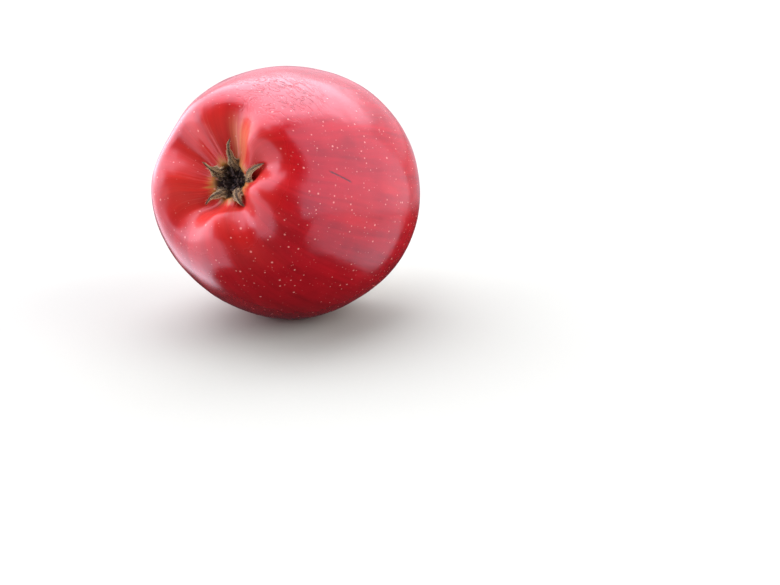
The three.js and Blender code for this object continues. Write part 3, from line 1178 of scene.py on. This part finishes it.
class APPLE_OT_fruit(bpy.types.Operator):
    """Build the fruit"""

    bl_idname = "apple.fruit"
    bl_label = "Fruit"

    def execute(self, context):
        scene = context.scene
        form, lie, look = scene.apple_fruit, scene.apple_lie, scene.apple_look
        mesh = plain_mesh("fruit_skin", fruit_shape(form, make_skin(look)), form.sizes())
        lie.middle = (0, 0, 0)
        mesh.transform(laid_down(lie))
        low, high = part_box("fruit")
        points = mesh_points(mesh)
        lie.middle = (
            (low.x + high.x - points[:, 0].min() - points[:, 0].max()) / 2,
            (low.y + high.y - points[:, 1].min() - points[:, 1].max()) / 2,
            high.z - points[:, 2].max(),
        )
        points += np.array(lie.middle, np.float32)
        flatten_rest_spot(points, form.rest_softness)
        mesh.vertices.foreach_set("co", points.ravel())
        mesh.update()
        stand_in(mesh, "fruit")
        return {"FINISHED"}


def flatten_rest_spot(points, softness):
    """Presses what is below the ground up to it, rounding the edge of the flat spot."""
    height = points[:, 2]
    near = np.clip(softness - np.abs(height), 0, None) / softness
    points[:, 2] = np.maximum(height, 0) + near * near * softness / 4


class APPLE_OT_stem(bpy.types.Operator):
    """Build the stem"""

    bl_idname = "apple.stem"
    bl_label = "Stem"

    def execute(self, context):
        form, fruit = context.scene.apple_stem, context.scene.apple_fruit
        tree = stem_shape(form.sizes(), make_stem_wood(context.scene.apple_look))
        mesh = plain_mesh("stem_bark", tree, form.sizes())
        foot = fruit.on_core(fruit.height / 2 - fruit.cavity_depth)
        mesh.transform(laid_down(context.scene.apple_lie) @ Matrix.Translation(foot))
        stand_in(mesh, "stem")
        return {"FINISHED"}


class APPLE_OT_sepals(bpy.types.Operator):
    """Build the five sepals"""

    bl_idname = "apple.sepals"
    bl_label = "Sepals"

    def execute(self, context):
        form, fruit = context.scene.apple_flower, context.scene.apple_fruit
        felt = make_sepal_felt(context.scene.apple_look)
        ring = fruit.calyx_tube_diameter / 2 - SEPAL_FOOT_INSET
        laid = laid_down(context.scene.apple_lie)
        for number, row in enumerate(SEPALS, start=1):
            sizes = dict(zip(SEPAL_SIZES, row))
            place, lean, curl = (math.radians(sizes.pop(name)) for name in SEPAL_SIZES[:3])
            sizes.update({"Lean": lean, "Curl": curl, "Thickness": form.sepal_thickness})
            sizes.update({"Hairs": form.hairs, "Seed": number})
            mesh = plain_mesh(f"sepal_blade_{number}", sepal_shape(sizes, felt), sizes)
            turn = Matrix.Rotation(place, 4, "Z")
            stand = Matrix.Translation(fruit.flower_foot()) @ turn
            mesh.transform(laid @ (stand @ Matrix.Translation((ring, 0, 0))))
            stand_in(mesh, f"sepal_{number}")
        return {"FINISHED"}


class APPLE_OT_stamens(bpy.types.Operator):
    """Build the dried stamens"""

    bl_idname = "apple.stamens"
    bl_label = "Dried Stamens"

    def execute(self, context):
        form, fruit = context.scene.apple_flower, context.scene.apple_fruit
        sizes = form.stamen_sizes()
        tree = stamen_shape(sizes, make_dried_thread(context.scene.apple_look))
        mesh = plain_mesh("stamen_threads", tree, sizes)
        foot = Matrix.Translation(fruit.flower_foot())
        mesh.transform(laid_down(context.scene.apple_lie) @ foot)
        stand_in(mesh, "dried_stamens")
        return {"FINISHED"}


class APPLE_OT_stage(bpy.types.Operator):
    """Set the floor, the lights and the camera"""

    bl_idname = "apple.stage"
    bl_label = "Stage"

    def execute(self, context):
        scene, stage = context.scene, context.scene.apple_stage
        self.floor(scene, stage.floor_shade)
        self.light_room(scene, stage)
        self.window(scene, stage)
        self.camera(scene, Vector(scene.apple_lie.middle))
        scene.view_settings.view_transform = "Standard"
        return {"FINISHED"}

    def floor(self, scene, shade):
        mesh = bpy.data.meshes.new("floor")
        signs = ((-1, -1), (1, -1), (1, 1), (-1, 1))
        corners = [(x * FLOOR_REACH, y * FLOOR_REACH, 0) for x, y in signs]
        mesh.from_pydata(corners, [], [(0, 1, 2, 3)])
        material, tree, shader = new_material("floor_paper")
        here = add(tree, "ShaderNodeTexCoord").outputs["Object"]
        grain = noise(tree, here, 900.0, 3.0)
        tones = [
            colour(tone, tone * FLOOR_GREEN, tone * FLOOR_BLUE) for tone in (shade, shade * 1.03)
        ]
        pale = blended(tree, grain, *tones)
        feed(tree, shader.inputs["Base Color"], pale)
        shader.inputs["Roughness"].default_value = 0.9
        shader.inputs["Specular IOR Level"].default_value = 0.1
        mesh.materials.append(material)
        floor = bpy.data.objects.new("floor", mesh)
        scene.collection.objects.link(floor)
        # Glossy surfaces show the room's own table, which is darker on the camera's side.
        floor.visible_glossy = False

    def light_room(self, scene, stage):
        """Soft lights round a plain room, as LAMPS lists them. Turns are measured from straight
        behind, towards the right, and the side where the camera stands is dim."""
        world = bpy.data.worlds.new("room")
        scene.world = world
        world.use_nodes = True
        tree = world.node_tree
        tree.nodes.clear()
        way = add(tree, "ShaderNodeTexCoord").outputs["Generated"]
        x, y, z = parts(tree, way)
        turn = calculate(tree, "ARCTAN2", x, y) * (180 / math.pi)
        rise = calculate(tree, "ARCSINE", z) * (180 / math.pi)

        light = stage.room
        for name, centre, half, edge, low, high, fade in LAMPS:
            off = size_of(calculate(tree, "WRAP", turn - centre, 180.0, -180.0))
            beside = eased(off, half + edge, half - edge)
            level = eased(rise, low - fade, low + fade) * eased(rise, high + fade, high - fade)
            lamp = beside * level * getattr(stage, name)
            light = most(lamp, light)
        lights = add(tree, "ShaderNodeBackground", {"Color": stage.tint, "Strength": light})
        plain = add(tree, "ShaderNodeBackground", {"Color": colour(1, 1, 1), "Strength": 1.0})
        seen = add(tree, "ShaderNodeLightPath").outputs["Is Camera Ray"]
        inputs = {0: seen, 1: lights.outputs[0], 2: plain.outputs[0]}
        mixed = add(tree, "ShaderNodeMixShader", inputs)
        add(tree, "ShaderNodeOutputWorld", {"Surface": mixed.outputs[0]})

    def window(self, scene, stage):
        """A broad soft light from the right, too even to show as a shape in the wax."""
        light = bpy.data.lights.new("window", "SUN")
        light.energy = stage.window
        light.angle = math.radians(WINDOW_WIDTH)
        window = bpy.data.objects.new("window", light)
        window.rotation_euler = (
            math.radians(90 - WINDOW_RISE),
            0,
            math.radians(180 - WINDOW_TURN),
        )
        window.visible_glossy = False
        scene.collection.objects.link(window)

    def camera(self, scene, middle):
        lens = bpy.data.cameras.new("camera")
        lens.lens = LENS
        lens.sensor_width = SENSOR
        lens.clip_start = 0.005
        camera = bpy.data.objects.new("camera", lens)
        rise, swing = math.radians(CAMERA_RISE), math.radians(CAMERA_SWING)
        away = Vector(
            (
                math.sin(swing) * math.cos(rise),
                -math.cos(swing) * math.cos(rise),
                math.sin(rise),
            )
        )
        camera.location = middle + away * CAMERA_DISTANCE
        camera.rotation_euler = (math.radians(90 - LOOKS_DOWN), 0, math.radians(LOOKS_ROUND))
        scene.collection.objects.link(camera)
        scene.camera = camera


class APPLE_PT_panel(bpy.types.Panel):
    bl_idname = "APPLE_PT_panel"
    bl_label = "Apple"
    bl_space_type = "VIEW_3D"
    bl_region_type = "UI"
    bl_category = "Apple"

    def draw(self, context):
        for step in STEPS:
            self.layout.operator(step.bl_idname)


STEPS = (APPLE_OT_fruit, APPLE_OT_stem, APPLE_OT_sepals, APPLE_OT_stamens, APPLE_OT_stage)
GROUPS = {
    "apple_lie": AppleLie,
    "apple_fruit": AppleFruit,
    "apple_stem": AppleStem,
    "apple_flower": AppleFlower,
    "apple_look": AppleLook,
    "apple_stage": AppleStage,
}


def register():
    for group in GROUPS.values():
        bpy.utils.register_class(group)
    for name, group in GROUPS.items():
        setattr(bpy.types.Scene, name, bpy.props.PointerProperty(type=group))
    for step in STEPS:
        bpy.utils.register_class(step)
    bpy.utils.register_class(APPLE_PT_panel)


def unregister():
    bpy.utils.unregister_class(APPLE_PT_panel)
    for step in reversed(STEPS):
        bpy.utils.unregister_class(step)
    for name in GROUPS:
        delattr(bpy.types.Scene, name)
    for group in reversed(GROUPS.values()):
        bpy.utils.unregister_class(group)


def main():
    register()
    bpy.ops.apple.fruit()
    bpy.ops.apple.stem()
    bpy.ops.apple.sepals()
    bpy.ops.apple.stamens()
    bpy.ops.apple.stage()


if __name__ == "__main__":
    main()
